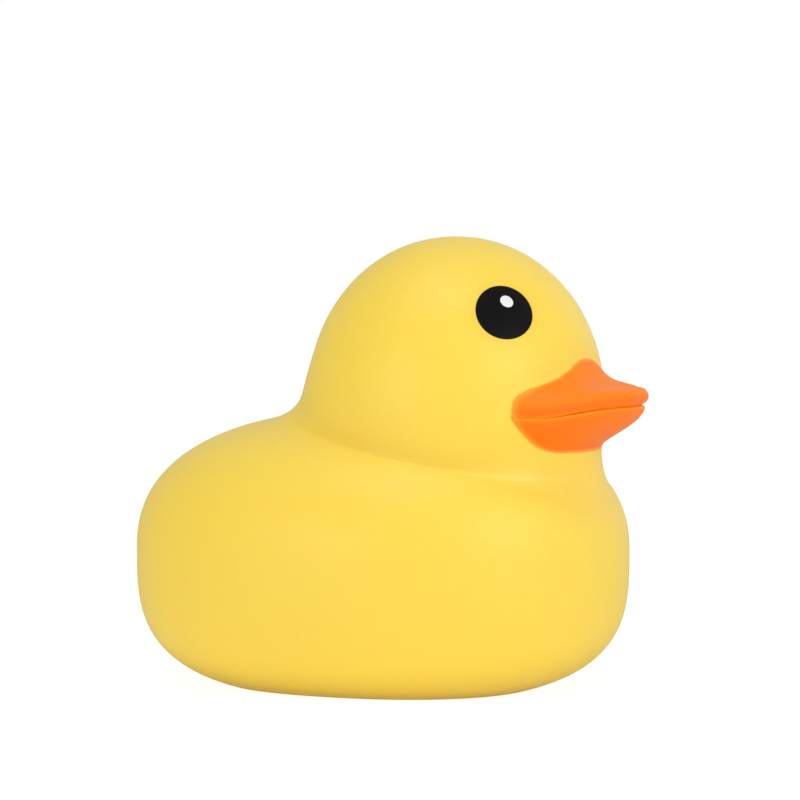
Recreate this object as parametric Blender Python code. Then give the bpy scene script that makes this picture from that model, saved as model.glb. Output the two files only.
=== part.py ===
"""Squishy toy duck: one soft moulding with a round body, a domed head, a short bill and printed eyes.

Units are metres and +Z is up. The duck faces -Y and rests on z = 0.
The middle of its flat base is at the origin.
"""
import math

import bmesh
import bpy
import numpy as np

# Body: a squared-off round that is flat below, where the toy rests.
BODY_HALF_LENGTH = 0.0406
BODY_HALF_WIDTH = 0.0339
BODY_WAIST_HEIGHT = 0.0218
BODY_RISE = 0.0229
BASE_CUT = 0.0020
BODY_PLAN_SQUARENESS = 2.22
BODY_TOP_SQUARENESS = 2.36
BODY_UNDER_SQUARENESS = 3.10

# Head: an egg-shaped dome near the front of the body. It meets the body in a crease that is crisp
# at the cheeks and eases into the chest in front and the back behind. Below the start height the
# nape flares out by the square of the height below it.
HEAD_HALF_WIDTH = 0.0243
HEAD_HALF_LENGTH = 0.0239
HEAD_RISE = 0.0267
HEAD_DROP = 0.0330
HEAD_WAIST_HEIGHT = 0.04625
HEAD_TOP_SQUARENESS = 2.05
HEAD_AHEAD = 0.0135
CHEEK_BLEND = 0.0008
CHEST_BLEND = 0.0050
CHEST_SPREAD = 4.0
NAPE_BLEND = 0.0052
NAPE_SPREAD = 2.5
NAPE_START_HEIGHT = 0.0563
NAPE_FLARE = 15.0
NECK_SINK = 0.0015

# Bill: a peaked upper half with a rolled lip, over a lower half that is a bowl up to its thinner lip.
# Both close in to one point at each corner of the mouth, just inside the head. Lip angles are in
# degrees above the level, and starts, falls and pulls are shares of the curve that they shape.
BILL_HALF_WIDTH = 0.0162
BILL_REACH = 0.0085
CORNER_SINK = 0.0010
CORNER_TURN = math.radians(88.5)
ROOT_SINK = 0.0003
MOUTH_HEIGHT = 0.0448
MOUTH_TIP_RISE = 0.0015
MOUTH_BEND = 0.3
UPPER_ROOT_RISE = 0.0059
UPPER_ROOT_SQUARENESS = 4.6
UPPER_ROOT_START = 0.26
UPPER_ROOT_FALL = 0.59
PEAK_RISE = 0.0046
PEAK_HALF_WIDTH = 0.0077
PEAK_FLATNESS = 2.6
PEAK_START = 0.31
PEAK_FALL = 1.00
UPPER_LIP_OVERHANG = 0.0010
NOSE_OVERHANG = 0.0018
UPPER_LIP_HEIGHT = 0.0029
UPPER_LIP_PULL = 0.33
LIP_TOP_ANGLE = 26.0
LIP_TOP_TURN = 71.0
LIP_TURN_START = 0.6
LIP_UNDER_ANGLE = -60.0
MOUTH_GROOVE_DEPTH = 0.0011
LOWER_LIP_SET_BACK = 0.0006
LOWER_LIP_RADIUS = 0.0004
LOWER_LIP_TOP_ANGLE = 60.0
LOWER_LIP_END_ANGLE = -10.0
LOWER_ROOT_DROP = 0.0058
LOWER_ROOT_FLATNESS = 6.9
BOWL_PULL = 0.25
BOWL_ROOT_RISE_ANGLE = -42.0

# Eyes: an oval print whose long way rises towards the bill, with a small round white dot on it.
# Turn is measured round the head from the front, and lift is up from its middle.
EYE_TURN = math.radians(40.6)
EYE_LIFT = math.radians(37.3)
EYE_HALF_LENGTH = 0.0052
EYE_HALF_HEIGHT = 0.0047
EYE_TILT = math.radians(41)
EYE_RELIEF = 0.00002
GLINT_TURN = math.radians(38.5)
GLINT_LIFT = math.radians(41.4)
GLINT_RADIUS = 0.00115
GLINT_RELIEF = 0.00002
PAD_SINK = 0.0006
PAD_EDGE_SQUARENESS = 6.0

# Facets of the skin, the bill and the eyes.
SKIN_SEGMENTS = 72
HEAD_RINGS = 20
BODY_RINGS = 28
BASE_RINGS = 4
RING_CROWDING = 1.4
PROFILE_STEPS = 240
HALVINGS = 40
BILL_STATIONS = 41
ROLL_POINTS = 7
CURVE_POINTS = 7
EYE_FACETS = (36, 14)
GLINT_FACETS = (20, 8)

# Colours as seen on the toy, in display values, and how rough each surface is.
YELLOW = (0.98, 0.85, 0.36)
ORANGE = (0.99, 0.52, 0.16)
BLACK = (0.06, 0.06, 0.06)
WHITE = (0.95, 0.95, 0.93)
SKIN_ROUGHNESS = 0.45
ORANGE_ROUGHNESS = 0.50
EYE_ROUGHNESS = 0.30

# The forms that everything else is placed by.
HEAD_CENTRE = np.array([0.0, -HEAD_AHEAD, HEAD_WAIST_HEIGHT])
UP = np.array([0.0, 0.0, 1.0])


def head_gap(points):
    """How far points are outside the egg of the head, below 0 inside it."""
    offset = points - HEAD_CENTRE
    half_height = np.where(offset[..., 2] > 0, HEAD_RISE, HEAD_DROP)
    flare = NAPE_FLARE * np.maximum(NAPE_START_HEIGHT - points[..., 2], 0) ** 2
    half_length = HEAD_HALF_LENGTH + np.where(offset[..., 1] > 0, flare, 0)
    plan = np.sqrt((offset[..., 0] / HEAD_HALF_WIDTH) ** 2 + (offset[..., 1] / half_length) ** 2)
    squareness = np.where(offset[..., 2] > 0, HEAD_TOP_SQUARENESS, 2)
    size = (plan ** squareness + np.abs(offset[..., 2] / half_height) ** squareness) ** (1 / squareness)
    return (size - 1) * HEAD_HALF_WIDTH


def body_gap(points):
    """How far points are outside the round body, below 0 inside it, before the base is cut flat."""
    across = np.abs(points[..., 0] / BODY_HALF_WIDTH) ** BODY_PLAN_SQUARENESS
    along = np.abs(points[..., 1] / BODY_HALF_LENGTH) ** BODY_PLAN_SQUARENESS
    plan = (across + along) ** (1 / BODY_PLAN_SQUARENESS)
    height = points[..., 2] - BODY_WAIST_HEIGHT
    above = height > 0
    squareness = np.where(above, BODY_TOP_SQUARENESS, BODY_UNDER_SQUARENESS)
    half_height = np.where(above, BODY_RISE, BODY_WAIST_HEIGHT + BASE_CUT)
    size = (plan ** squareness + np.abs(height / half_height) ** squareness) ** (1 / squareness)
    return (size - 1) * BODY_RISE


def skin_gap(points, blend):
    """How far points are outside head and body together, with the crease between them eased."""
    head, body = head_gap(points), body_gap(points)
    overlap = np.maximum(blend - np.abs(head - body), 0) / blend
    return np.minimum(head, body) - overlap ** 2 * blend / 4


def body_top(y):
    """Height of the body's top on its centre line."""
    share = 1 - abs(y / BODY_HALF_LENGTH) ** BODY_TOP_SQUARENESS
    return BODY_WAIST_HEIGHT + BODY_RISE * share ** (1 / BODY_TOP_SQUARENESS)


# The middle of the neck lies inside both forms, so that rays from it meet the skin once.
NECK = np.array([0.0, -HEAD_AHEAD, body_top(HEAD_AHEAD) - NECK_SINK])


def reach(gap, origin, rays):
    """How far each ray from a point inside a form goes before it leaves it, found by halving."""
    near = np.zeros(rays.shape[:-1])
    far = np.full(rays.shape[:-1], 2 * (BODY_HALF_LENGTH + BODY_HALF_WIDTH))
    for _ in range(HALVINGS):
        middle = (near + far) / 2
        inside = gap(origin + rays * middle[..., None]) < 0
        near = np.where(inside, middle, near)
        far = np.where(inside, far, middle)
    return near


def skin_points(turn, tilts):
    """Points of the skin on rays from the neck: turn is round it from the front, tilt is from the top."""
    rays = np.stack([math.sin(turn) * np.sin(tilts), -math.cos(turn) * np.sin(tilts), np.cos(tilts)], -1)
    at_chest = max(math.cos(turn), 0) ** CHEST_SPREAD
    at_nape = max(-math.cos(turn), 0) ** NAPE_SPREAD
    blend = CHEEK_BLEND + (CHEST_BLEND - CHEEK_BLEND) * at_chest + (NAPE_BLEND - CHEEK_BLEND) * at_nape
    return NECK + rays * reach(lambda points: skin_gap(points, blend), NECK, rays)[..., None]


def profile(turn):
    """One line of the skin from the crown over the crease and the waist to the middle of the base."""
    tilts = np.linspace(0, math.pi, PROFILE_STEPS)
    points = skin_points(turn, tilts)
    run = np.r_[0, np.cumsum(np.linalg.norm(np.diff(points, axis=0), axis=1))]
    on_body = head_gap(points) - body_gap(points)
    crease = np.argmax(on_body > 0)
    crease_run = np.interp(0, on_body[crease - 1:crease + 1], run[crease - 1:crease + 1])
    below = np.argmax(points[:, 2] < 0)
    rim_run = np.interp(0, -points[below - 1:below + 1, 2], run[below - 1:below + 1])
    head_runs = crease_run * (1 - (1 - np.linspace(0, 1, HEAD_RINGS + 1)) ** RING_CROWDING)
    body_runs = crease_run + (rim_run - crease_run) * np.linspace(0, 1, BODY_RINGS + 1) ** RING_CROWDING
    runs = np.r_[head_runs, body_runs[1:]]
    line = skin_points(turn, np.interp(runs, run, tilts))
    line[-1, 2] = 0.0
    middle = np.array([NECK[0], NECK[1], 0.0])
    shares = np.linspace(0, 1, BASE_RINGS + 1)[1:, None]
    return np.vstack([line, line[-1] + (middle - line[-1]) * shares])


def face_at(x, z):
    """The front skin of the head at a place seen from the front."""
    above = z > HEAD_WAIST_HEIGHT
    half_height, squareness = (HEAD_RISE, HEAD_TOP_SQUARENESS) if above else (HEAD_DROP, 2)
    level = (1 - abs((z - HEAD_WAIST_HEIGHT) / half_height) ** squareness) ** (1 / squareness)
    ahead = HEAD_HALF_LENGTH * math.sqrt(level ** 2 - (x / HEAD_HALF_WIDTH) ** 2)
    return np.array([x, -HEAD_AHEAD - ahead, z])


def root_at(x, z):
    """A root point of the bill, just under the head's skin."""
    point = face_at(x, z)
    inward = HEAD_CENTRE - point
    return point + inward / np.linalg.norm(inward) * ROOT_SINK


def eased(share):
    """A share from 0 to 1 that starts and ends gently."""
    share = min(max(share, 0), 1)
    return share * share * (3 - 2 * share)


def bezier(start, start_pull, end_pull, end):
    """Points along a cubic curve, without its two ends."""
    t = np.linspace(0, 1, CURVE_POINTS + 2)[1:-1, None]
    return ((1 - t) ** 3 * start + 3 * (1 - t) ** 2 * t * start_pull
            + 3 * (1 - t) * t ** 2 * end_pull + t ** 3 * end)


def roll(centre, out, half_width, half_height, from_angle, to_angle):
    """Points round a lip of oval section, from one angle above the level to another below it."""
    angles = np.radians(np.linspace(from_angle, to_angle, ROLL_POINTS))[:, None]
    return centre + out * half_width * np.cos(angles) + UP * half_height * np.sin(angles)


def heading(out, angle):
    """The way a slice runs on from a lip that it leaves at this angle above the level."""
    return out * math.sin(math.radians(angle)) - UP * math.cos(math.radians(angle))


def bill_section(turn):
    """One upright slice of the bill, from the upper root round both lips to the lower root."""
    side, ahead = math.sin(turn), math.cos(turn)
    full = (1 - abs(side) ** UPPER_ROOT_SQUARENESS) ** (1 / UPPER_ROOT_SQUARENESS)
    corner_y = face_at(BILL_HALF_WIDTH, MOUTH_HEIGHT)[1] + CORNER_SINK
    tip_y = face_at(0, MOUTH_HEIGHT + MOUTH_TIP_RISE)[1] - BILL_REACH
    length = corner_y - tip_y
    out = np.array([side / BILL_HALF_WIDTH, -ahead / length, 0.0])
    out /= np.linalg.norm(out)
    mouth = MOUTH_HEIGHT + MOUTH_TIP_RISE * eased((ahead - MOUTH_BEND) / (1 - MOUTH_BEND))
    edge = np.array([BILL_HALF_WIDTH * side, corner_y - length * ahead, mouth])

    peak = math.exp(-abs(edge[0] / PEAK_HALF_WIDTH) ** PEAK_FLATNESS)
    upper_root = root_at(edge[0], MOUTH_HEIGHT + UPPER_ROOT_RISE * full + PEAK_RISE * peak)
    at_nose = eased((ahead - LIP_TURN_START) / (1 - LIP_TURN_START))
    top_angle = LIP_TOP_ANGLE + LIP_TOP_TURN * at_nose
    overhang = (UPPER_LIP_OVERHANG + (NOSE_OVERHANG - UPPER_LIP_OVERHANG) * at_nose) * full
    half_height = UPPER_LIP_HEIGHT * full / 2
    upper_centre = edge - out * overhang + UP * half_height
    upper_lip = roll(upper_centre, out, overhang, half_height, top_angle, LIP_UNDER_ANGLE)
    level, fall = (upper_lip[0] - upper_root) * (1, 1, 0), (upper_lip[0] - upper_root) * UP
    start = level * (UPPER_ROOT_START + (PEAK_START - UPPER_ROOT_START) * peak)
    start += fall * (UPPER_ROOT_FALL + (PEAK_FALL - UPPER_ROOT_FALL) * peak)
    end = heading(out, top_angle) * np.linalg.norm(level) * UPPER_LIP_PULL
    upper = bezier(upper_root, upper_root + start, upper_lip[0] - end, upper_lip[0])

    lower_full = 1 - abs(side) ** LOWER_ROOT_FLATNESS
    radius = LOWER_LIP_RADIUS * lower_full
    lower_centre = edge - out * (LOWER_LIP_SET_BACK * lower_full + radius) - UP * radius
    lower_lip = roll(lower_centre, out, radius, radius, LOWER_LIP_TOP_ANGLE, LOWER_LIP_END_ANGLE)
    groove = edge - out * MOUTH_GROOVE_DEPTH * lower_full
    lower_root = root_at(edge[0], MOUTH_HEIGHT - LOWER_ROOT_DROP * lower_full)
    pull = np.linalg.norm(lower_root - lower_lip[-1]) * BOWL_PULL
    start = lower_lip[-1] + heading(out, LOWER_LIP_END_ANGLE) * pull
    lower = bezier(lower_lip[-1], start, lower_root - heading(out, BOWL_ROOT_RISE_ANGLE) * pull, lower_root)
    return np.vstack([upper_root, upper, upper_lip, groove, lower_lip, lower, lower_root])


def linear(display_colour):
    """A colour as seen on a display, turned into the linear values that a material takes."""
    return [((value + 0.055) / 1.055) ** 2.4 if value > 0.04 else value / 12.92 for value in display_colour]


def finish(name, colour, roughness):
    """A plain finish of one colour."""
    material = bpy.data.materials.new(name)
    material.use_nodes = True
    shader = material.node_tree.nodes["Principled BSDF"]
    shader.inputs["Base Color"].default_value = (*linear(colour), 1)
    shader.inputs["Roughness"].default_value = roughness
    shader.inputs["Metallic"].default_value = 0
    material.diffuse_color = (*linear(colour), 1)
    return material


def solid(name, bm, material, collection):
    """An object made from a bmesh, with its faces turned outwards."""
    bmesh.ops.recalc_face_normals(bm, faces=bm.faces)
    mesh = bpy.data.meshes.new(name)
    bm.to_mesh(mesh)
    bm.free()
    mesh.materials.append(material)
    made = bpy.data.objects.new(name, mesh)
    collection.objects.link(made)
    return made


def make_skin(material, collection):
    """The body and head in one skin: a round ball whose points are pushed out to the two forms."""
    rings = HEAD_RINGS + BODY_RINGS + BASE_RINGS
    lines = [profile(2 * math.pi * step / SKIN_SEGMENTS) for step in range(SKIN_SEGMENTS)]
    bm = bmesh.new()
    bmesh.ops.create_uvsphere(bm, u_segments=SKIN_SEGMENTS, v_segments=rings, radius=1)
    for vert in bm.verts:
        ring = round(math.acos(max(-1, min(1, vert.co.z))) / math.pi * rings)
        step = round(math.atan2(vert.co.x, -vert.co.y) / (2 * math.pi) * SKIN_SEGMENTS) % SKIN_SEGMENTS
        vert.co = lines[step][ring]
    return solid("duck", bm, material, collection)


def make_bill(material, collection):
    """The bill: slices from one corner of the mouth round the tip to the other, closed inside the head."""
    turns = np.linspace(-CORNER_TURN, CORNER_TURN, BILL_STATIONS)
    bm = bmesh.new()
    slices = [[bm.verts.new(point) for point in bill_section(turn)] for turn in turns]
    for first, second in zip(slices, slices[1:]):
        for index in range(len(first) - 1):
            bm.faces.new((first[index], first[index + 1], second[index + 1], second[index]))
    heart = bm.verts.new((0, -HEAD_AHEAD, MOUTH_HEIGHT))
    for edge in [edge for edge in bm.edges if edge.is_boundary]:
        bm.faces.new((*edge.verts, heart))
    return solid("bill_form", bm, material, collection)


def make_pad(name, side, place, size, relief, facets, material, collection):
    """A thin oval pad on one side of the head: a ball pressed to its curve, proud outside and sunk inside."""
    turn, lift, tilt = place
    level = math.cos(lift)
    middle = np.array([side * math.sin(turn) * level, -math.cos(turn) * level, math.sin(lift)])
    forward = np.cross(UP, middle) * -side
    forward /= np.linalg.norm(forward)
    upward = np.cross(middle, forward) * -side
    long_way = forward * math.cos(tilt) + upward * math.sin(tilt)
    short_way = upward * math.cos(tilt) - forward * math.sin(tilt)
    head_radius = reach(head_gap, HEAD_CENTRE, middle)
    bm = bmesh.new()
    bmesh.ops.create_uvsphere(bm, u_segments=facets[0], v_segments=facets[1], radius=1)
    for vert in bm.verts:
        from_middle = math.hypot(vert.co.x, vert.co.y)
        ray = middle * head_radius + long_way * size[0] * vert.co.x + short_way * size[1] * vert.co.y
        ray /= np.linalg.norm(ray)
        edge_round = max(1 - from_middle ** PAD_EDGE_SQUARENESS, 0) ** 0.5
        proud = relief * edge_round if vert.co.z > 0 else -PAD_SINK * edge_round
        vert.co = HEAD_CENTRE + ray * (reach(head_gap, HEAD_CENTRE, ray) + proud)
    return solid(name, bm, material, collection)


def join_into(base, added):
    """Unite a form with the moulding, each keeping its own colour."""
    union = base.modifiers.new(added.name, "BOOLEAN")
    union.operation = "UNION"
    union.solver = "EXACT"
    union.material_mode = "TRANSFER"
    union.object = added
    added.hide_render = True
    added.display_type = "WIRE"


def main():
    for existing in list(bpy.data.objects):
        bpy.data.objects.remove(existing, do_unlink=True)
    toy = bpy.data.collections.new("squishy_toy_duck")
    forms = bpy.data.collections.new("joined_forms")
    bpy.context.scene.collection.children.link(toy)
    bpy.context.scene.collection.children.link(forms)

    yellow = finish("yellow_rubber", YELLOW, SKIN_ROUGHNESS)
    orange = finish("orange_coat", ORANGE, ORANGE_ROUGHNESS)
    black = finish("black_print", BLACK, EYE_ROUGHNESS)
    white = finish("white_print", WHITE, EYE_ROUGHNESS)

    duck = make_skin(yellow, toy)
    join_into(duck, make_bill(orange, forms))
    for side, name in ((-1, "right"), (1, "left")):
        eye = make_pad(f"{name}_eye_form", side, (EYE_TURN, EYE_LIFT, EYE_TILT),
                       (EYE_HALF_LENGTH, EYE_HALF_HEIGHT), EYE_RELIEF, EYE_FACETS, black, forms)
        join_into(duck, eye)
        glint = make_pad(f"{name}_glint_form", side, (GLINT_TURN, GLINT_LIFT, 0.0),
                         (GLINT_RADIUS, GLINT_RADIUS), EYE_RELIEF + GLINT_RELIEF, GLINT_FACETS, white, forms)
        join_into(duck, glint)

    bpy.context.view_layer.update()
    joined = bpy.data.meshes.new_from_object(duck.evaluated_get(bpy.context.evaluated_depsgraph_get()))
    duck.modifiers.clear()
    duck.data = joined
    joined.shade_smooth()
    bm = bmesh.new()
    bm.from_mesh(joined)
    for edge in bm.edges:
        first, second = edge.link_faces
        edge.smooth = first.material_index == second.material_index
    bm.to_mesh(joined)
    bm.free()


main()
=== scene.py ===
"""The look of a squishy toy duck: one soft rubbery moulding, a sprayed orange bill and printed eyes.

Units are metres and +Z is up. The duck faces -Y and rests on z = 0.
The middle of its flat base is at the origin.
"""

import math

import bmesh
import bpy
import numpy as np
from mathutils import Matrix, Vector
from mathutils.kdtree import KDTree


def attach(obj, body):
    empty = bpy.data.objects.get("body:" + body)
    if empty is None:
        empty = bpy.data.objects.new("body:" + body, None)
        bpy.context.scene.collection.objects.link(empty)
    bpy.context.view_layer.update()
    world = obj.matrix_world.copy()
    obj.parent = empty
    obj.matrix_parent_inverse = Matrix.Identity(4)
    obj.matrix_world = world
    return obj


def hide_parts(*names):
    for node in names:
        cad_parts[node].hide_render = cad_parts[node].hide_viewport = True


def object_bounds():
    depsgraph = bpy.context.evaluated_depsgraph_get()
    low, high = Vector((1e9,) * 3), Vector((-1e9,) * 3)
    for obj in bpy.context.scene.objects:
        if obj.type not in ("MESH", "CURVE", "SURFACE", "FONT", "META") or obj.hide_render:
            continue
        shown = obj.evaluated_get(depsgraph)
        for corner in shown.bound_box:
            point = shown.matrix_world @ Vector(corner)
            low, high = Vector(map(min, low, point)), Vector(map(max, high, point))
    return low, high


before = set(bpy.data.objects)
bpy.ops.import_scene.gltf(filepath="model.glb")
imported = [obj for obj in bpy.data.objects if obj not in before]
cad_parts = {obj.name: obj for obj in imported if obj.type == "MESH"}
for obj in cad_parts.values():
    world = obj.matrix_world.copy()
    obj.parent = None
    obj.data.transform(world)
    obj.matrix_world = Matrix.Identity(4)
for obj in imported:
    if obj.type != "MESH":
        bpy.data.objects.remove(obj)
packed_low, packed_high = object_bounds()
scene = bpy.context.scene
scene.view_settings.view_transform = "Standard"


# The camera.
# A long lens at the height of the toy's neck, turned to its front right quarter, as in the photograph.
# At this distance the toy fills about two thirds of the picture's width.
CAMERA_TURN = math.radians(-62.5)
CAMERA_LIFT = math.radians(3.0)
CAMERA_DISTANCE = 0.700
CAMERA_AIM_RIGHT = 0.00292
CAMERA_AIM_HEIGHT = 0.04625
METRES_PER_PIXEL = 0.0001628
PICTURE_PIXELS = 800
SENSOR_WIDTH = 36.0

camera_right = Vector((math.cos(CAMERA_TURN), math.sin(CAMERA_TURN), 0))
camera_back = Vector((math.sin(CAMERA_TURN) * math.cos(CAMERA_LIFT),
                      -math.cos(CAMERA_TURN) * math.cos(CAMERA_LIFT), math.sin(CAMERA_LIFT)))
camera_up = camera_back.cross(camera_right)
aim = camera_right * CAMERA_AIM_RIGHT + Vector((0, 0, CAMERA_AIM_HEIGHT))
camera = bpy.data.objects.new("camera", bpy.data.cameras.new("camera"))
camera.data.sensor_width = SENSOR_WIDTH
camera.data.lens = SENSOR_WIDTH * CAMERA_DISTANCE / METRES_PER_PIXEL / PICTURE_PIXELS
camera.matrix_world = Matrix((camera_right, camera_up, camera_back)).transposed().to_4x4()
camera.location = aim + camera_back * CAMERA_DISTANCE
scene.collection.objects.link(camera)
scene.camera = camera


# The studio.
# A white sweep under and behind the toy, lit all round by white walls. The camera sees them plain
# white, and the toy mirrors them dimly, more so on its right. The sweep throws light back on the
# toy's underside and keeps its soft shadow.
FLOOR_HALF_WIDTH = 3.0
FLOOR_GAP = 0.00002
FLOOR_COLOUR = 0.92
FLOOR_LIGHT = 0.23
FLOOR_GLOW = 1.08
FLOOR_GLOW_SHARE = 0.80
FLOOR_SHEEN_LOSS = 0.55
WALL_LIGHT = 0.615
WALL_SHEEN = 0.60
WALL_SHEEN_TO_THE_RIGHT = 0.32


def feed(tree, socket, value):
    """Gives a node's input a link or a plain value."""
    if isinstance(value, bpy.types.NodeSocket):
        tree.links.new(value, socket)
    else:
        socket.default_value = value


def worked_out(tree, operation, *values, clamp=False):
    """A sum, product or the like of two or three values."""
    node = tree.nodes.new("ShaderNodeMath")
    node.operation = operation
    node.use_clamp = clamp
    for socket, value in zip(node.inputs, values):
        feed(tree, socket, value)
    return node.outputs[0]


def white_light(tree, kind, strength):
    """White light that the walls or the sweep give off by themselves."""
    node = tree.nodes.new(kind)
    node.inputs["Color"].default_value = (1, 1, 1, 1)
    feed(tree, node.inputs["Strength"], strength)
    return node.outputs[0]


def between(tree, share, first, second):
    """A shader between two others."""
    node = tree.nodes.new("ShaderNodeMixShader")
    for socket, value in zip(node.inputs, (share, first, second)):
        feed(tree, socket, value)
    return node.outputs[0]


world = bpy.data.worlds.new("white_walls")
scene.world = world
world.use_nodes = True
tree = world.node_tree
tree.nodes.clear()
rays = tree.nodes.new("ShaderNodeLightPath").outputs
rightward = tree.nodes.new("ShaderNodeVectorMath")
rightward.operation = "DOT_PRODUCT"
feed(tree, rightward.inputs[0], tree.nodes.new("ShaderNodeTexCoord").outputs["Generated"])
feed(tree, rightward.inputs[1], camera_right)
sheen = worked_out(tree, "MULTIPLY_ADD", rightward.outputs["Value"], WALL_SHEEN_TO_THE_RIGHT, WALL_SHEEN)
lit_walls = between(tree, rays["Is Glossy Ray"], white_light(tree, "ShaderNodeBackground", WALL_LIGHT),
                    white_light(tree, "ShaderNodeBackground", sheen))
seen = worked_out(tree, "MAXIMUM", rays["Is Camera Ray"], rays["Is Transmission Ray"])
walls = between(tree, seen, lit_walls, white_light(tree, "ShaderNodeBackground", 1.0))
feed(tree, tree.nodes.new("ShaderNodeOutputWorld").inputs[0], walls)

bpy.ops.mesh.primitive_plane_add(size=2 * FLOOR_HALF_WIDTH, location=(0, 0, -FLOOR_GAP))
floor = bpy.context.object
floor.name = "studio_floor"
sweep = bpy.data.materials.new("white_sweep")
sweep.use_nodes = True
tree = sweep.node_tree
tree.nodes.clear()
rays = tree.nodes.new("ShaderNodeLightPath").outputs
paper = tree.nodes.new("ShaderNodeBsdfDiffuse")
paper.inputs["Color"].default_value = (FLOOR_COLOUR, FLOOR_COLOUR, FLOOR_COLOUR, 1)
lit_paper = tree.nodes.new("ShaderNodeAddShader")
feed(tree, lit_paper.inputs[0], paper.outputs[0])
feed(tree, lit_paper.inputs[1], white_light(tree, "ShaderNodeEmission", FLOOR_LIGHT))
loss = worked_out(tree, "MULTIPLY", rays["Is Glossy Ray"], FLOOR_SHEEN_LOSS)
mirrored = between(tree, loss, lit_paper.outputs[0], white_light(tree, "ShaderNodeEmission", 0.0))
glow_share = worked_out(tree, "MULTIPLY", rays["Is Camera Ray"], FLOOR_GLOW_SHARE)
paper_seen = between(tree, glow_share, mirrored, white_light(tree, "ShaderNodeEmission", FLOOR_GLOW))
feed(tree, tree.nodes.new("ShaderNodeOutputMaterial").inputs[0], paper_seen)
floor.data.materials.append(sweep)


def softbox(name, right, up, back, size, power):
    """A square white lamp aimed at the toy, placed by the way that it lies from it in the picture."""
    lamp = bpy.data.objects.new(name, bpy.data.lights.new(name, "AREA"))
    lamp.data.size = size
    lamp.data.energy = power
    lamp.location = aim + camera_right * right + camera_up * up + camera_back * back
    lamp.rotation_euler = (aim - lamp.location).to_track_quat("-Z", "Y").to_euler()
    scene.collection.objects.link(lamp)


softbox("left_softbox", right=-0.60, up=0.13, back=0.66, size=0.32, power=1.0)
softbox("right_softbox", right=0.60, up=0.30, back=0.62, size=0.60, power=2.35)
softbox("top_softbox", right=-0.10, up=0.85, back=0.25, size=0.50, power=1.85)


# The moulding's body and head.
# One soft rubbery moulding, cast in one piece: a squared-off round body that is flat below, and an
# egg-shaped head near its front. They meet in a crease that is crisp at the cheeks and eases into
# the chest in front and the back behind. These are the sizes of the CAD part, with finer facets.
BODY_HALF_LENGTH = 0.0406
BODY_HALF_WIDTH = 0.0339
BODY_WAIST_HEIGHT = 0.0218
BODY_RISE = 0.0229
BASE_CUT = 0.0020
BODY_PLAN_SQUARENESS = 2.22
BODY_TOP_SQUARENESS = 2.36
BODY_UNDER_SQUARENESS = 3.10
HEAD_HALF_WIDTH = 0.0243
HEAD_HALF_LENGTH = 0.0239
HEAD_RISE = 0.0267
HEAD_DROP = 0.0330
HEAD_WAIST_HEIGHT = 0.04625
HEAD_TOP_SQUARENESS = 2.05
HEAD_AHEAD = 0.0135
CHEEK_BLEND = 0.0008
CHEST_BLEND = 0.0050
CHEST_SPREAD = 4.0
NAPE_BLEND = 0.0052
NAPE_SPREAD = 2.5
NAPE_START_HEIGHT = 0.0563
NAPE_FLARE = 15.0
NECK_SINK = 0.0015

SKIN_LINES = 256
FRONT_CROWDING = 0.35
HEAD_RINGS = 96
BODY_RINGS = 116
BASE_RINGS = 12
RING_CROWDING = 1.4
PROFILE_STEPS = 400
HALVINGS = 40

HEAD_CENTRE = np.array([0.0, -HEAD_AHEAD, HEAD_WAIST_HEIGHT])
UP = np.array([0.0, 0.0, 1.0])


def head_gap(points):
    """How far points are outside the egg of the head, below 0 inside it."""
    offset = points - HEAD_CENTRE
    half_height = np.where(offset[..., 2] > 0, HEAD_RISE, HEAD_DROP)
    flare = NAPE_FLARE * np.maximum(NAPE_START_HEIGHT - points[..., 2], 0) ** 2
    half_length = HEAD_HALF_LENGTH + np.where(offset[..., 1] > 0, flare, 0)
    plan = np.sqrt((offset[..., 0] / HEAD_HALF_WIDTH) ** 2 + (offset[..., 1] / half_length) ** 2)
    squareness = np.where(offset[..., 2] > 0, HEAD_TOP_SQUARENESS, 2)
    size = (plan ** squareness + np.abs(offset[..., 2] / half_height) ** squareness) ** (1 / squareness)
    return (size - 1) * HEAD_HALF_WIDTH


def body_gap(points):
    """How far points are outside the round body, below 0 inside it, before the base is cut flat."""
    across = np.abs(points[..., 0] / BODY_HALF_WIDTH) ** BODY_PLAN_SQUARENESS
    along = np.abs(points[..., 1] / BODY_HALF_LENGTH) ** BODY_PLAN_SQUARENESS
    plan = (across + along) ** (1 / BODY_PLAN_SQUARENESS)
    height = points[..., 2] - BODY_WAIST_HEIGHT
    above = height > 0
    squareness = np.where(above, BODY_TOP_SQUARENESS, BODY_UNDER_SQUARENESS)
    half_height = np.where(above, BODY_RISE, BODY_WAIST_HEIGHT + BASE_CUT)
    size = (plan ** squareness + np.abs(height / half_height) ** squareness) ** (1 / squareness)
    return (size - 1) * BODY_RISE


def body_top(y):
    """Height of the body's top on its centre line."""
    share = 1 - abs(y / BODY_HALF_LENGTH) ** BODY_TOP_SQUARENESS
    return BODY_WAIST_HEIGHT + BODY_RISE * share ** (1 / BODY_TOP_SQUARENESS)


# The middle of the neck lies inside both forms, so that rays from it meet the skin once.
NECK = np.array([0.0, -HEAD_AHEAD, body_top(HEAD_AHEAD) - NECK_SINK])


def reach(gap, origin, rays):
    """How far each ray from a point inside a form goes before it leaves it, found by halving."""
    near = np.zeros(rays.shape[:-1])
    far = np.full(rays.shape[:-1], 2 * (BODY_HALF_LENGTH + BODY_HALF_WIDTH))
    for _ in range(HALVINGS):
        middle = (near + far) / 2
        inside = gap(origin + rays * middle[..., None]) < 0
        near = np.where(inside, middle, near)
        far = np.where(inside, far, middle)
    return near


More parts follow.
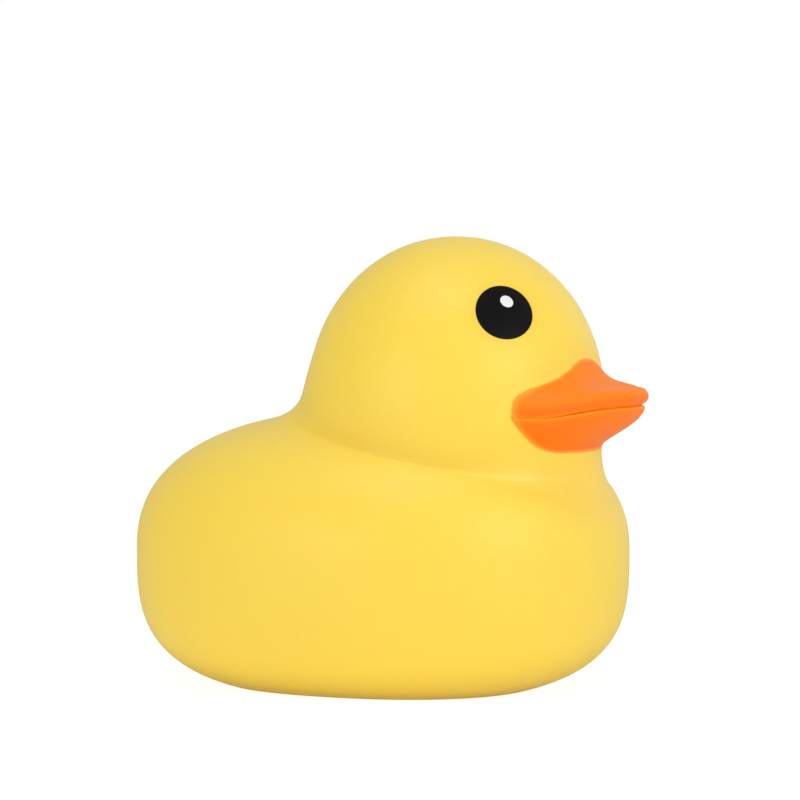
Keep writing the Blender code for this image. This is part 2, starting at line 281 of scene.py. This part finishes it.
def skin_points(turns, tilts):
    """Points of the skin on rays from the neck: turn is round it from the front, tilt is from the top."""
    rays = np.stack([np.sin(turns) * np.sin(tilts), -np.cos(turns) * np.sin(tilts), np.cos(tilts)], -1)
    at_chest = np.maximum(np.cos(turns), 0) ** CHEST_SPREAD
    at_nape = np.maximum(-np.cos(turns), 0) ** NAPE_SPREAD
    blend = CHEEK_BLEND + (CHEST_BLEND - CHEEK_BLEND) * at_chest + (NAPE_BLEND - CHEEK_BLEND) * at_nape

    def skin_gap(points):
        head, body = head_gap(points), body_gap(points)
        overlap = np.maximum(blend - np.abs(head - body), 0) / blend
        return np.minimum(head, body) - overlap ** 2 * blend / 4

    return NECK + rays * reach(skin_gap, NECK, rays)[..., None]


def skin_lines():
    """Lines of the skin from the crown over the crease and the waist to the middle of the base."""
    steps = 2 * np.pi * np.arange(SKIN_LINES) / SKIN_LINES - np.pi
    turns = steps - FRONT_CROWDING * np.sin(steps)
    tilts = np.linspace(0, math.pi, PROFILE_STEPS)
    points = skin_points(turns[:, None], np.broadcast_to(tilts, (SKIN_LINES, PROFILE_STEPS)))
    runs = np.cumsum(np.linalg.norm(np.diff(points, axis=1, prepend=points[:, :1]), axis=2), axis=1)
    on_body = head_gap(points) - body_gap(points)
    ring_tilts = []
    for line, run, side in zip(points, runs, on_body):
        crease = np.argmax(side > 0)
        crease_run = np.interp(0, side[crease - 1:crease + 1], run[crease - 1:crease + 1])
        below = np.argmax(line[:, 2] < 0)
        rim_run = np.interp(0, -line[below - 1:below + 1, 2], run[below - 1:below + 1])
        head_runs = crease_run * (1 - (1 - np.linspace(0, 1, HEAD_RINGS + 1)) ** RING_CROWDING)
        shares = np.linspace(0, 1, BODY_RINGS + 1) ** RING_CROWDING
        body_runs = crease_run + (rim_run - crease_run) * shares
        ring_tilts.append(np.interp(np.r_[head_runs, body_runs[1:]], run, tilts))
    lines = skin_points(turns[:, None], np.array(ring_tilts))
    lines[:, -1, 2] = 0.0
    middle = np.array([NECK[0], NECK[1], 0.0])
    shares = np.linspace(0, 1, BASE_RINGS + 1)[1:, None, None]
    base = lines[None, :, -1] + (middle - lines[None, :, -1]) * shares
    return np.concatenate([lines, base.transpose(1, 0, 2)], axis=1)


def made_from(name, points, faces, slots=()):
    """An object made from points and faces, with its faces turned outwards."""
    mesh = bpy.data.meshes.new(name)
    mesh.from_pydata([tuple(point) for point in points], [], faces)
    bm = bmesh.new()
    bm.from_mesh(mesh)
    bmesh.ops.recalc_face_normals(bm, faces=bm.faces)
    bm.to_mesh(mesh)
    bm.free()
    for material in slots:
        mesh.materials.append(material)
    made = bpy.data.objects.new(name, mesh)
    scene.collection.objects.link(made)
    return made


def wrapped(lines):
    """Points and faces of a closed skin whose lines all start at one pole and end at another."""
    count, rings = lines.shape[0], lines.shape[1]
    points = [lines[0, 0]] + [lines[line, ring] for ring in range(1, rings - 1) for line in range(count)]
    points.append(lines[0, -1])
    faces = [(0, 1 + line, 1 + (line + 1) % count) for line in range(count)]
    for ring in range(rings - 3):
        start = 1 + ring * count
        for line in range(count):
            after = (line + 1) % count
            faces.append((start + line, start + count + line, start + count + after, start + after))
    last, start = len(points) - 1, 1 + (rings - 3) * count
    faces += [(start + line, last, start + (line + 1) % count) for line in range(count)]
    return points, faces


soft_rubber = bpy.data.materials.new("yellow_soft_rubber")
duck = made_from("duck_moulding", *wrapped(skin_lines()), slots=[soft_rubber])


# The bill.
# Moulded with the head: a peaked upper half with a rolled lip, over a lower half that is a bowl up
# to its thinner lip. Both close in to one point at each corner of the mouth, just inside the head.
BILL_HALF_WIDTH = 0.0162
BILL_REACH = 0.0085
CORNER_SINK = 0.0010
CORNER_TURN = math.radians(88.5)
ROOT_SINK = 0.0003
MOUTH_HEIGHT = 0.0448
MOUTH_TIP_RISE = 0.0015
MOUTH_BEND = 0.3
UPPER_ROOT_RISE = 0.0059
UPPER_ROOT_SQUARENESS = 4.6
UPPER_ROOT_START = 0.26
UPPER_ROOT_FALL = 0.59
PEAK_RISE = 0.0046
PEAK_HALF_WIDTH = 0.0077
PEAK_FLATNESS = 2.6
PEAK_START = 0.31
PEAK_FALL = 1.00
UPPER_LIP_OVERHANG = 0.0010
NOSE_OVERHANG = 0.0018
UPPER_LIP_HEIGHT = 0.0029
UPPER_LIP_PULL = 0.33
LIP_TOP_ANGLE = 26.0
LIP_TOP_TURN = 71.0
LIP_TURN_START = 0.6
LIP_UNDER_ANGLE = -60.0
MOUTH_GROOVE_DEPTH = 0.0011
LOWER_LIP_SET_BACK = 0.0006
LOWER_LIP_RADIUS = 0.0004
LOWER_LIP_TOP_ANGLE = 60.0
LOWER_LIP_END_ANGLE = -10.0
LOWER_ROOT_DROP = 0.0058
LOWER_ROOT_FLATNESS = 6.9
BOWL_PULL = 0.25
BOWL_ROOT_RISE_ANGLE = -42.0

BILL_SLICES = 161
LIP_POINTS = 15
UPPER_POINTS = 26
BOWL_POINTS = 26


def face_at(x, z):
    """The front skin of the head at a place seen from the front."""
    above = z > HEAD_WAIST_HEIGHT
    half_height, squareness = (HEAD_RISE, HEAD_TOP_SQUARENESS) if above else (HEAD_DROP, 2)
    level = (1 - abs((z - HEAD_WAIST_HEIGHT) / half_height) ** squareness) ** (1 / squareness)
    ahead = HEAD_HALF_LENGTH * math.sqrt(level ** 2 - (x / HEAD_HALF_WIDTH) ** 2)
    return np.array([x, -HEAD_AHEAD - ahead, z])


def root_at(x, z):
    """A root point of the bill, just under the head's skin."""
    point = face_at(x, z)
    inward = HEAD_CENTRE - point
    return point + inward / np.linalg.norm(inward) * ROOT_SINK


def eased(share):
    """A share from 0 to 1 that starts and ends gently."""
    share = np.clip(share, 0, 1)
    return share * share * (3 - 2 * share)


def bezier(start, start_pull, end_pull, end, count):
    """Points along a cubic curve, without its two ends."""
    t = np.linspace(0, 1, count + 2)[1:-1, None]
    return ((1 - t) ** 3 * start + 3 * (1 - t) ** 2 * t * start_pull
            + 3 * (1 - t) * t ** 2 * end_pull + t ** 3 * end)


def roll(centre, out, half_width, half_height, from_angle, to_angle):
    """Points round a lip of oval section, from one angle above the level to another below it."""
    angles = np.radians(np.linspace(from_angle, to_angle, LIP_POINTS))[:, None]
    return centre + out * half_width * np.cos(angles) + UP * half_height * np.sin(angles)


def heading(out, angle):
    """The way a slice runs on from a lip that it leaves at this angle above the level."""
    return out * math.sin(math.radians(angle)) - UP * math.cos(math.radians(angle))


def bill_slice(turn):
    """One upright slice of the bill, from the upper root round both lips to the lower root."""
    side, ahead = math.sin(turn), math.cos(turn)
    full = (1 - abs(side) ** UPPER_ROOT_SQUARENESS) ** (1 / UPPER_ROOT_SQUARENESS)
    corner_y = face_at(BILL_HALF_WIDTH, MOUTH_HEIGHT)[1] + CORNER_SINK
    tip_y = face_at(0, MOUTH_HEIGHT + MOUTH_TIP_RISE)[1] - BILL_REACH
    length = corner_y - tip_y
    out = np.array([side / BILL_HALF_WIDTH, -ahead / length, 0.0])
    out /= np.linalg.norm(out)
    mouth = MOUTH_HEIGHT + MOUTH_TIP_RISE * eased((ahead - MOUTH_BEND) / (1 - MOUTH_BEND))
    edge = np.array([BILL_HALF_WIDTH * side, corner_y - length * ahead, mouth])

    peak = math.exp(-abs(edge[0] / PEAK_HALF_WIDTH) ** PEAK_FLATNESS)
    upper_root = root_at(edge[0], MOUTH_HEIGHT + UPPER_ROOT_RISE * full + PEAK_RISE * peak)
    at_nose = eased((ahead - LIP_TURN_START) / (1 - LIP_TURN_START))
    top_angle = LIP_TOP_ANGLE + LIP_TOP_TURN * at_nose
    overhang = (UPPER_LIP_OVERHANG + (NOSE_OVERHANG - UPPER_LIP_OVERHANG) * at_nose) * full
    half_height = UPPER_LIP_HEIGHT * full / 2
    upper_centre = edge - out * overhang + UP * half_height
    upper_lip = roll(upper_centre, out, overhang, half_height, top_angle, LIP_UNDER_ANGLE)
    level, fall = (upper_lip[0] - upper_root) * (1, 1, 0), (upper_lip[0] - upper_root) * UP
    start = level * (UPPER_ROOT_START + (PEAK_START - UPPER_ROOT_START) * peak)
    start += fall * (UPPER_ROOT_FALL + (PEAK_FALL - UPPER_ROOT_FALL) * peak)
    end = heading(out, top_angle) * np.linalg.norm(level) * UPPER_LIP_PULL
    upper = bezier(upper_root, upper_root + start, upper_lip[0] - end, upper_lip[0], UPPER_POINTS)

    lower_full = 1 - abs(side) ** LOWER_ROOT_FLATNESS
    radius = LOWER_LIP_RADIUS * lower_full
    lower_centre = edge - out * (LOWER_LIP_SET_BACK * lower_full + radius) - UP * radius
    lower_lip = roll(lower_centre, out, radius, radius, LOWER_LIP_TOP_ANGLE, LOWER_LIP_END_ANGLE)
    groove = edge - out * MOUTH_GROOVE_DEPTH * lower_full
    lower_root = root_at(edge[0], MOUTH_HEIGHT - LOWER_ROOT_DROP * lower_full)
    pull = np.linalg.norm(lower_root - lower_lip[-1]) * BOWL_PULL
    start = lower_lip[-1] + heading(out, LOWER_LIP_END_ANGLE) * pull
    end = lower_root - heading(out, BOWL_ROOT_RISE_ANGLE) * pull
    lower = bezier(lower_lip[-1], start, end, lower_root, BOWL_POINTS)
    return np.vstack([upper_root, upper, upper_lip, groove, lower_lip, lower, lower_root])


slices = np.array([bill_slice(turn) for turn in np.linspace(-CORNER_TURN, CORNER_TURN, BILL_SLICES)])
slice_points = slices.shape[1]
bill_points = list(slices.reshape(-1, 3)) + [np.array([0, -HEAD_AHEAD, MOUTH_HEIGHT])]
heart = len(bill_points) - 1
bill_faces = []
for first in range(0, (BILL_SLICES - 1) * slice_points, slice_points):
    second = first + slice_points
    for index in range(slice_points - 1):
        bill_faces.append((first + index, first + index + 1, second + index + 1, second + index))
    bill_faces.append((first, second, heart))
    bill_faces.append((second + slice_points - 1, first + slice_points - 1, heart))
for index in range(slice_points - 1):
    bill_faces.append((index + 1, index, heart))
    end = (BILL_SLICES - 1) * slice_points + index
    bill_faces.append((end, end + 1, heart))
orange_zone = bpy.data.materials.new("bill_zone")
bill = made_from("bill_form", bill_points, bill_faces, slots=[orange_zone])


# The eyes.
# A black oval print on each side of the head, whose long way rises towards the bill, with a small
# round white dot printed on it. Each ink stands a fiftieth of a millimetre proud.
EYE_TURN = math.radians(40.6)
EYE_LIFT = math.radians(37.3)
EYE_HALF_LENGTH = 0.0052
EYE_HALF_HEIGHT = 0.0047
EYE_TILT = math.radians(41)
EYE_RELIEF = 0.00002
GLINT_TURN = math.radians(38.5)
GLINT_LIFT = math.radians(41.4)
GLINT_RADIUS = 0.00115
GLINT_RELIEF = 0.00002
PAD_SINK = 0.0006
PAD_EDGE_SQUARENESS = 6.0
EYE_FACETS = (96, 40)
GLINT_FACETS = (48, 16)
BLACK = (0.0022, 0.0023, 0.0020, 1)
GREY_BLACK = (0.006, 0.006, 0.006, 1)
BLACK_ROUGHNESS = 0.34
BLACK_SHINE = 0.08
WHITE = (0.78, 0.78, 0.76, 1)
CREAM_WHITE = (0.72, 0.71, 0.66, 1)
WHITE_ROUGHNESS = 0.35
WHITE_SHINE = 0.25
INK_GRAIN = 0.15
INK_MOTTLE = 0.3


def printed_pad(name, side, place, size, relief, facets, ink):
    """A thin oval print on one side of the head, pressed to its curve, proud outside and sunk inside."""
    turn, lift, tilt = place
    level = math.cos(lift)
    middle = np.array([side * math.sin(turn) * level, -math.cos(turn) * level, math.sin(lift)])
    forward = np.cross(UP, middle) * -side
    forward /= np.linalg.norm(forward)
    upward = np.cross(middle, forward) * -side
    long_way = forward * math.cos(tilt) + upward * math.sin(tilt)
    short_way = upward * math.cos(tilt) - forward * math.sin(tilt)
    radius = reach(head_gap, HEAD_CENTRE, middle)
    around = 2 * np.pi * np.arange(facets[0]) / facets[0]
    down = np.linspace(0, np.pi, facets[1] + 1)
    from_middle = np.sin(down)[None, :]
    along, across = from_middle * np.cos(around)[:, None], from_middle * np.sin(around)[:, None]
    rays = (middle * radius + long_way * (size[0] * along)[..., None]
            + short_way * (size[1] * across)[..., None])
    rays /= np.linalg.norm(rays, axis=-1, keepdims=True)
    edge_round = np.maximum(1 - from_middle ** PAD_EDGE_SQUARENESS, 0) ** 0.5
    proud = np.where(np.cos(down)[None, :] > 0, relief, -PAD_SINK) * edge_round
    lines = HEAD_CENTRE + rays * (reach(head_gap, HEAD_CENTRE, rays) + proud)[..., None]
    return made_from(name, *wrapped(lines), slots=[ink])


def mixed(tree, share, first, second):
    """A colour between two others."""
    node = tree.nodes.new("ShaderNodeMix")
    node.data_type = "RGBA"
    for socket, value in zip((node.inputs[0], node.inputs[6], node.inputs[7]), (share, first, second)):
        feed(tree, socket, value)
    return node.outputs[2]


def new_group(name, inputs, outputs):
    """A node group, with the sockets inside it that its named inputs and outputs lead to."""
    tree = bpy.data.node_groups.new(name, "ShaderNodeTree")
    for label, kind in inputs:
        tree.interface.new_socket(label, in_out="INPUT", socket_type="NodeSocket" + kind)
    for label, kind in outputs:
        tree.interface.new_socket(label, in_out="OUTPUT", socket_type="NodeSocket" + kind)
    return tree, tree.nodes.new("NodeGroupInput").outputs, tree.nodes.new("NodeGroupOutput").inputs


def noise(tree, grain_size, detail):
    """Soft random values from 0 to 1, whose patches are about this size."""
    place = tree.nodes.new("ShaderNodeTexCoord")
    node = tree.nodes.new("ShaderNodeTexNoise")
    node.inputs["Scale"].default_value = 1 / grain_size
    node.inputs["Detail"].default_value = detail
    tree.links.new(place.outputs["Object"], node.inputs["Vector"])
    return node.outputs["Fac"]


# The moulding and the inks share a faint mottle about a centimetre wide and a satin grain.
MOTTLE_SIZE = 0.011
MOTTLE_DETAIL = 1.5
mottle, given, gives = new_group(
    "slow_mottle", [("Colour", "Color"), ("Deeper Colour", "Color"), ("Amount", "Float")],
    [("Colour", "Color")])
patches = noise(mottle, MOTTLE_SIZE, MOTTLE_DETAIL)
deepened = worked_out(mottle, "MULTIPLY", patches, given["Amount"], clamp=True)
feed(mottle, gives["Colour"], mixed(mottle, deepened, given["Colour"], given["Deeper Colour"]))

GRAIN_SIZE = 0.00035
GRAIN_DETAIL = 2.0
GRAIN_HEIGHT = 0.00002
grain, given, gives = new_group("satin_grain", [("Depth", "Float")], [("Normal", "Vector")])
bump = grain.nodes.new("ShaderNodeBump")
bump.inputs["Distance"].default_value = GRAIN_HEIGHT
feed(grain, bump.inputs["Strength"], given["Depth"])
feed(grain, bump.inputs["Height"], noise(grain, GRAIN_SIZE, GRAIN_DETAIL))
feed(grain, gives["Normal"], bump.outputs[0])


def finish(material, roughness, shine, grain_depth):
    """A material's shader with the satin grain on it."""
    material.use_nodes = True
    tree = material.node_tree
    shader = tree.nodes["Principled BSDF"]
    shader.inputs["Specular IOR Level"].default_value = shine
    shader.inputs["Roughness"].default_value = roughness
    skin = tree.nodes.new("ShaderNodeGroup")
    skin.node_tree = grain
    skin.inputs["Depth"].default_value = grain_depth
    tree.links.new(skin.outputs["Normal"], shader.inputs["Normal"])
    return tree, shader


def patched(tree, colour, deeper, amount):
    """A colour with the slow mottle in it."""
    node = tree.nodes.new("ShaderNodeGroup")
    node.node_tree = mottle
    for label, value in (("Colour", colour), ("Deeper Colour", deeper), ("Amount", amount)):
        feed(tree, node.inputs[label], value)
    return node.outputs["Colour"]


black_ink = bpy.data.materials.new("black_eye_print")
tree, shader = finish(black_ink, BLACK_ROUGHNESS, BLACK_SHINE, INK_GRAIN)
feed(tree, shader.inputs["Base Color"], patched(tree, BLACK, GREY_BLACK, INK_MOTTLE))
white_ink = bpy.data.materials.new("white_dot_print")
tree, shader = finish(white_ink, WHITE_ROUGHNESS, WHITE_SHINE, INK_GRAIN)
feed(tree, shader.inputs["Base Color"], patched(tree, WHITE, CREAM_WHITE, INK_MOTTLE))

dot_relief = EYE_RELIEF + GLINT_RELIEF
prints = []
for side, name in ((-1, "right"), (1, "left")):
    prints.append(printed_pad(f"{name}_eye_form", side, (EYE_TURN, EYE_LIFT, EYE_TILT),
                              (EYE_HALF_LENGTH, EYE_HALF_HEIGHT), EYE_RELIEF, EYE_FACETS, black_ink))
    prints.append(printed_pad(f"{name}_dot_form", side, (GLINT_TURN, GLINT_LIFT, 0.0),
                              (GLINT_RADIUS, GLINT_RADIUS), dot_relief, GLINT_FACETS, white_ink))


# The one moulding.
# Body, head and bill come out of the mould as one closed skin, and the eyes are printed on it. The
# tool that cut the mould left a small fillet round the root of the bill.
FILLET_WIDTH = 0.0009
FILLET_ROUNDS = 14
FILLET_SHARE = 0.6

for form in [bill, *prints]:
    union = duck.modifiers.new(form.name, "BOOLEAN")
    union.operation = "UNION"
    union.solver = "EXACT"
    union.material_mode = "TRANSFER"
    union.object = form
bpy.context.view_layer.update()
joined = bpy.data.meshes.new_from_object(duck.evaluated_get(bpy.context.evaluated_depsgraph_get()))
duck.modifiers.clear()
duck.data = joined
joined.name = "duck_moulding"
for form in [bill, *prints]:
    bpy.data.objects.remove(form, do_unlink=True)

bm = bmesh.new()
bm.from_mesh(joined)
bm.verts.ensure_lookup_table()
slots = [material.name for material in joined.materials]
rubber, orange = slots.index(soft_rubber.name), slots.index(orange_zone.name)


def tree_of(points):
    """A search tree of points."""
    tree = KDTree(len(points))
    for number, point in enumerate(points):
        tree.insert(point, number)
    tree.balance()
    return tree


def points_between(first, second):
    """The points of the line along which two zones meet."""
    return {vert.co[:] for edge in bm.edges for vert in edge.verts
            if {face.material_index for face in edge.link_faces} == {first, second}}


def neighbour_mean(values):
    """What each point's neighbours have on average."""
    total = np.zeros_like(values)
    np.add.at(total, pairs[:, 0], values[pairs[:, 1]])
    np.add.at(total, pairs[:, 1], values[pairs[:, 0]])
    return (total.T / neighbours).T


near_seam = tree_of(points_between(rubber, orange))
near_eye = tree_of(points_between(rubber, slots.index(black_ink.name)))
places = np.array([vert.co for vert in bm.verts], float)
pairs = np.array([[vert.index for vert in edge.verts] for edge in bm.edges])
neighbours = np.zeros(len(places))
np.add.at(neighbours, pairs.ravel(), 1)
seam_gaps = np.array([near_seam.find(vert.co)[2] for vert in bm.verts])
softness = np.clip(1 - seam_gaps / FILLET_WIDTH, 0, 1)[:, None]
for _ in range(FILLET_ROUNDS):
    places += softness * FILLET_SHARE * (neighbour_mean(places) - places)

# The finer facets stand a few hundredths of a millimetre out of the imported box, so they are eased in.
own_low, own_high = places.min(axis=0), places.max(axis=0)
room_low, room_high = np.array(packed_low), np.array(packed_high)
places = room_low + (places - own_low) / (own_high - own_low) * (room_high - room_low)
for vert, place in zip(bm.verts, places):
    vert.co = place

# The bill's faces were told apart by a stand-in finish, which isn't needed any more.
on_bill = np.zeros(len(places), bool)
for face in bm.faces:
    if face.material_index == orange:
        on_bill[[vert.index for vert in face.verts]] = True
        face.material_index = rubber
for edge in bm.edges:
    edge.smooth = len({face.material_index for face in edge.link_faces}) == 1
bm.normal_update()
eye_gaps = np.array([near_eye.find(vert.co)[2] for vert in bm.verts])
bm.to_mesh(joined)
bm.free()
joined.materials.pop(index=orange)
bpy.data.materials.remove(orange_zone)


# The orange coat.
# Sprayed through a mask on the yellow rubber of the bill. Where it is thin, at the mask's edge, the
# yellow shines through it as amber, over a wider band at the corners of the mouth than at the peak.
COAT_HALF_WIDTH = 0.01625
COAT_TOP_RISE = 0.0054
COAT_TOP_SQUARENESS = 4
COAT_PEAK_RISE = 0.00355
COAT_PEAK_HALF_WIDTH = 0.0072
COAT_PEAK_FLATNESS = 2.3
COAT_DROP = 0.0058
COAT_DROP_FLATNESS = 5.4
COAT_STEPS = 1200
COAT_PROUD_SHARE = 1.5
COAT_PROUD_START = 0.0005
PEAK_FADE = 0.0006
CORNER_FADE = 0.0014
CORNER_FADE_FROM = 0.010
CORNER_FADE_TO = 0.015
COAT_EASING_ROUNDS = 3
COAT_EASING_SHARE = 0.5
LIP_BAND_TOP = 0.0021
LIP_BAND_FADE = 0.0012
LOWER_BILL_SHADE = 0.7
LIP_HIGHLIGHT_WIDTH = 0.00045
LIP_HIGHLIGHT = 0.7
ORANGE = (0.97, 0.218, 0.003, 1)
SHADED_ORANGE = (0.95, 0.168, 0.002, 1)
AMBER = (0.98, 0.37, 0.012, 1)
COAT_ROUGHNESS = 0.47
COAT_EDGE_SHARPNESS = 5.0


def coat_top(x):
    """How far the coat reaches above the mouth."""
    level = np.maximum(1 - np.abs(x / COAT_HALF_WIDTH) ** COAT_TOP_SQUARENESS, 0)
    peak = np.exp(-np.abs(x / COAT_PEAK_HALF_WIDTH) ** COAT_PEAK_FLATNESS)
    return COAT_TOP_RISE * level ** (1 / COAT_TOP_SQUARENESS) + COAT_PEAK_RISE * peak


def coat_bottom(x):
    """How far the coat reaches below the mouth, as a negative height."""
    return -COAT_DROP * np.maximum(1 - np.abs(x / COAT_HALF_WIDTH) ** COAT_DROP_FLATNESS, 0)


across = COAT_HALF_WIDTH * np.sin(np.linspace(-np.pi / 2, np.pi / 2, COAT_STEPS))
outline = [face_at(x, MOUTH_HEIGHT + z) for x, z in zip(across, coat_top(across))]
outline += [face_at(x, MOUTH_HEIGHT + z) for x, z in zip(across, coat_bottom(across))]
near_outline = tree_of(outline)
x, height = places[:, 0], places[:, 2] - MOUTH_HEIGHT
inside = (height < coat_top(x)) & (height > coat_bottom(x)) & (np.abs(x) < COAT_HALF_WIDTH)
inside &= places[:, 1] < -HEAD_AHEAD
outline_gaps = np.array([near_outline.find(place)[2] for place in places])
proud = np.where(on_bill, head_gap(places), 0) * COAT_PROUD_SHARE - COAT_PROUD_START
coat_edge = np.maximum(np.where(inside, outline_gaps, -outline_gaps), proud)
for _ in range(COAT_EASING_ROUNDS):
    coat_edge += COAT_EASING_SHARE * (neighbour_mean(coat_edge) - coat_edge)
fade = np.interp(np.abs(x), (CORNER_FADE_FROM, CORNER_FADE_TO), (PEAK_FADE, CORNER_FADE))
coat_thickness = np.clip(coat_edge / fade, 0, 1)

# Painted shade darkens the coat on the upper lip's underside and, less, on the lower half, and a
# painted highlight lightens it along the mouth's groove and the edge of the lower lip.
ahead = np.sqrt(np.maximum(1 - (x / BILL_HALF_WIDTH) ** 2, 0))
above_mouth = height - MOUTH_TIP_RISE * eased((ahead - MOUTH_BEND) / (1 - MOUTH_BEND))
bill_underside_shade = np.clip((LIP_BAND_TOP - above_mouth) / LIP_BAND_FADE, 0, 1)
bill_underside_shade = np.where(on_bill, bill_underside_shade * np.where(above_mouth > 0, 1, LOWER_BILL_SHADE), 0)
# The painted highlight follows the mouth's groove and the top of the lower lip.
groove_index = 1 + UPPER_POINTS + LIP_POINTS
near_lip = tree_of(list(slices[:, groove_index:groove_index + 2].reshape(-1, 3)))
lip_gaps = np.array([near_lip.find(place)[2] for place in places])
lip_highlight = np.where(on_bill, np.exp(-(lip_gaps / LIP_HIGHLIGHT_WIDTH) ** 2), 0)


# The painted shade and highlight of the skin.
# Painted shade darkens the rubber in the neck's crease, on the head's side of it, and round
# the eyes. Along the front of the crease a painted highlight lightens the body's edge.
CREASE_SHADE = 0.30
CREASE_SHADE_WIDTH = 0.0016
CREASE_EDGE_WIDTH = 0.0003
CREASE_LIGHT = 0.22
CREASE_LIGHT_WIDTH = 0.0004
CREASE_LIGHT_PLACE = 0.0006
CREASE_LIGHT_TURNS = np.radians((8, 22, 45, 65))
EYE_SHADE = 0.38
EYE_SHADE_WIDTH = 0.0010
DEEP_YELLOW = (0.80, 0.46, 0.020, 1)
PALE_YELLOW = (1.0, 0.80, 0.20, 1)

around = np.arctan2(x, -places[:, 1] - HEAD_AHEAD)
at_cheek = 1 - np.maximum(np.cos(around), 0) ** CHEST_SPREAD - np.maximum(-np.cos(around), 0) ** NAPE_SPREAD
above_crease = body_gap(places) - head_gap(places)
crease_shade = np.where(above_crease > 0, np.exp(-above_crease / CREASE_SHADE_WIDTH),
                        np.exp(-(above_crease / CREASE_EDGE_WIDTH) ** 2)) * np.clip(at_cheek, 0, 1)
# Painted highlight: a pale line on the body's side of the crease, at its front.
crease_light = np.exp(-((above_crease + CREASE_LIGHT_PLACE) / CREASE_LIGHT_WIDTH) ** 2)
crease_light *= np.interp(np.abs(around), CREASE_LIGHT_TURNS, (0, 1, 1, 0))
eye_shade = np.exp(-eye_gaps / EYE_SHADE_WIDTH)

# The shader reads the coat's thickness and each painted shade and highlight from the moulding, and
# the distance to the coat's edge in millimetres.
shades = {"coat_edge": coat_edge * 1000, "coat_thickness": coat_thickness, "bill_underside_shade": bill_underside_shade,
          "lip_highlight": lip_highlight, "crease_shade": crease_shade, "crease_light": crease_light,
          "eye_shade": eye_shade}
for name, values in shades.items():
    layer = joined.attributes.new(name, "FLOAT", "POINT")
    layer.data.foreach_set("value", values.astype(np.float32))


# The rubber.
# Foamed rubber, coloured right through, with a satin skin that lets a little light in. Its shader
# also lays on the painted shades and highlights, and the orange coat, which is duller than the
# bare skin.
YELLOW = (0.900, 0.652, 0.064, 1)
RUBBER_ROUGHNESS = 0.42
RUBBER_SHINE = 0.18
RUBBER_GRAIN = 0.25
RUBBER_MOTTLE = 0.06
LIGHT_TAKEN_IN = 0.35
LIGHT_REACH = 0.0016
LIGHT_REACH_BY_COLOUR = (1.0, 0.4, 0.1)
SKIN_GLOSS = 0.62
SKIN_GLOSS_ROUGHNESS = 0.46


def layer_value(tree, name):
    """One of the moulding's own shades."""
    node = tree.nodes.new("ShaderNodeAttribute")
    node.attribute_name = name
    return node.outputs["Fac"]


tree, shader = finish(soft_rubber, RUBBER_ROUGHNESS, RUBBER_SHINE, RUBBER_GRAIN)
shader.inputs["Subsurface Weight"].default_value = LIGHT_TAKEN_IN
shader.inputs["Subsurface Radius"].default_value = LIGHT_REACH_BY_COLOUR
shader.inputs["Subsurface Scale"].default_value = LIGHT_REACH
bare = patched(tree, YELLOW, DEEP_YELLOW, RUBBER_MOTTLE)
# Painted shade in the crease and round the eyes deepens the yellow.
shade = worked_out(tree, "MULTIPLY", layer_value(tree, "crease_shade"), CREASE_SHADE)
shade = worked_out(tree, "MULTIPLY_ADD", layer_value(tree, "eye_shade"), EYE_SHADE, shade, clamp=True)
bare = mixed(tree, shade, bare, DEEP_YELLOW)
# A painted highlight along the front of the crease pales the yellow.
crease_highlight_share = worked_out(tree, "MULTIPLY", layer_value(tree, "crease_light"), CREASE_LIGHT)
bare = mixed(tree, crease_highlight_share, bare, PALE_YELLOW)
edge = worked_out(tree, "MULTIPLY_ADD", layer_value(tree, "coat_edge"), COAT_EDGE_SHARPNESS, 0.5, clamp=True)
thin = mixed(tree, edge, bare, AMBER)
thick = patched(tree, ORANGE, AMBER, RUBBER_MOTTLE)
# Painted shade on the bill's underside deepens the orange.
thick = mixed(tree, layer_value(tree, "bill_underside_shade"), thick, SHADED_ORANGE)
# A painted highlight along the mouth's groove and the lower lip's edge pales the orange to amber.
lip_highlight_share = worked_out(tree, "MULTIPLY", layer_value(tree, "lip_highlight"), LIP_HIGHLIGHT)
thick = mixed(tree, lip_highlight_share, thick, AMBER)
thickness = layer_value(tree, "coat_thickness")
feed(tree, shader.inputs["Base Color"], mixed(tree, thickness, thin, thick))
gloss = worked_out(tree, "MULTIPLY_ADD", thickness, -SKIN_GLOSS, SKIN_GLOSS)
feed(tree, shader.inputs["Coat Weight"], gloss)
shader.inputs["Coat Roughness"].default_value = SKIN_GLOSS_ROUGHNESS
rougher = COAT_ROUGHNESS - RUBBER_ROUGHNESS
roughness = worked_out(tree, "MULTIPLY_ADD", thickness, rougher, RUBBER_ROUGHNESS)
feed(tree, shader.inputs["Roughness"], roughness)

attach(duck, "root")
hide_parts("duck")
